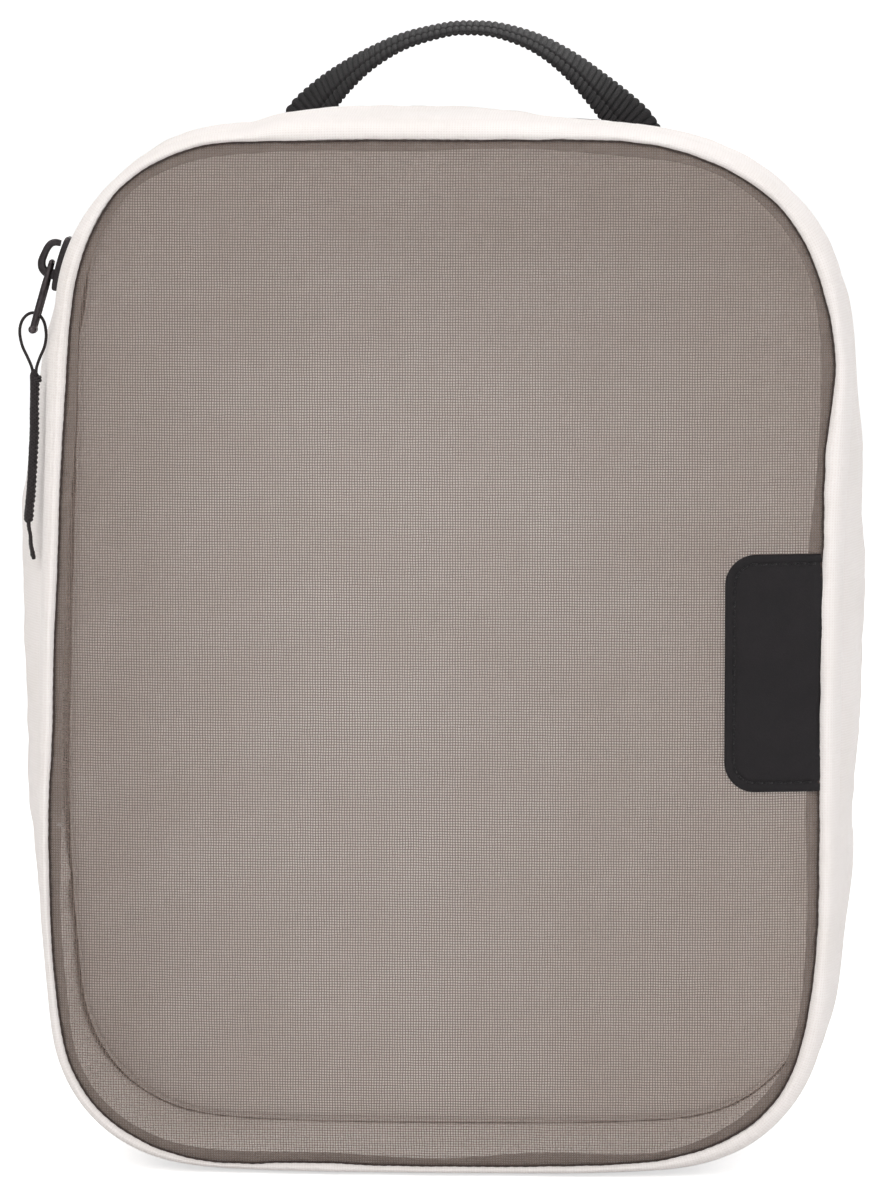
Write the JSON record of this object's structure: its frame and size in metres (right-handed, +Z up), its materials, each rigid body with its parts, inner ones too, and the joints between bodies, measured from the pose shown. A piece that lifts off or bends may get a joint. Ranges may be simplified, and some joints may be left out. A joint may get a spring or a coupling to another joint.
{
  "type": "packing cube",
  "caption": "Upright soft packing cube with a see-through mesh lid that unzips round three sides, a folding carry handle on top and a corded zip pull.",
  "frame": {"origin": "on the ground plane, midway across the width and midway through the depth of the case", "axes": "+Z up towards the carry handle, -Y out of the mesh lid, +X to the right as the lid is seen"},
  "size_m": [0.28, 0.0952, 0.3747],
  "materials": {
    "shell_fabric": "off-white padded pique knit, soft sheen",
    "seam_binding": "narrow woven binding tape",
    "zip_tape": "flat woven zip tape",
    "zip_coil": "nylon coil",
    "window_mesh": "fine see-through warm grey netting",
    "mesh_binding": "dark grey seam allowance behind the net",
    "seam_thread": "dark brown seam thread",
    "patch_leather": "matte grained, blank",
    "patch_thread": "waxed black thread",
    "slider_metal": "gunmetal, semi-gloss",
    "pull_cord": "braided black cord",
    "webbing": "ribbed black webbing"
  },
  "bodies": {
    "case": {"back_panel": "shell_fabric", "side_wall": "shell_fabric", "back_seam_binding": "seam_binding", "hinge_strip": "shell_fabric", "case_zip_tape": "zip_tape", "case_zip_coil": "zip_coil", "zip_end_stops": "slider_metal", "handle_anchors": "webbing", "anchor_bartacks": "patch_thread"},
    "lid": {"lid_border": "shell_fabric", "mesh_window": "window_mesh", "mesh_edge_binding": "mesh_binding", "window_seam_cord": "seam_thread", "lid_zip_tape": "zip_tape", "lid_zip_coil": "zip_coil", "leather_patch": "patch_leather", "patch_stitching": "patch_thread"},
    "slider": {"zip_slider": "slider_metal"},
    "pull": {"pull_link": "slider_metal"},
    "cord": {"cord_loop": "pull_cord", "cord_grip": "pull_cord", "cord_tails": "pull_cord"},
    "handle": {"carry_handle": "webbing"}
  },
  "joints": [
    {"name": "lid_open", "type": "hinge", "parent": "case", "child": "lid", "pos_m": [-0.126, -0.0453, 0.1725], "axis": [0, 0, -1], "range_deg": [0, 160]},
    {"name": "slider_travel", "type": "hinge", "parent": "case", "child": "slider", "pos_m": [-0.06496, -0.034, 0.28246], "axis": [0, 1, 0], "range_deg": [0, 60]},
    {"name": "pull_swing", "type": "hinge", "parent": "slider", "child": "pull", "pos_m": [-0.12604, -0.034, 0.29966], "axis": [0, 1, 0], "range_deg": [0, 150]},
    {"name": "cord_swing", "type": "hinge", "parent": "pull", "child": "cord", "pos_m": [-0.13238, -0.034, 0.27756], "axis": [0, 1, 0], "range_deg": [0, 60]},
    {"name": "handle_fold", "type": "hinge", "parent": "case", "child": "handle", "pos_m": [0.007, 0.0435, 0.3493], "axis": [1, 0, 0], "range_deg": [-90, 70], "stiffness_Nm_per_rad": 0.02}
  ]
}
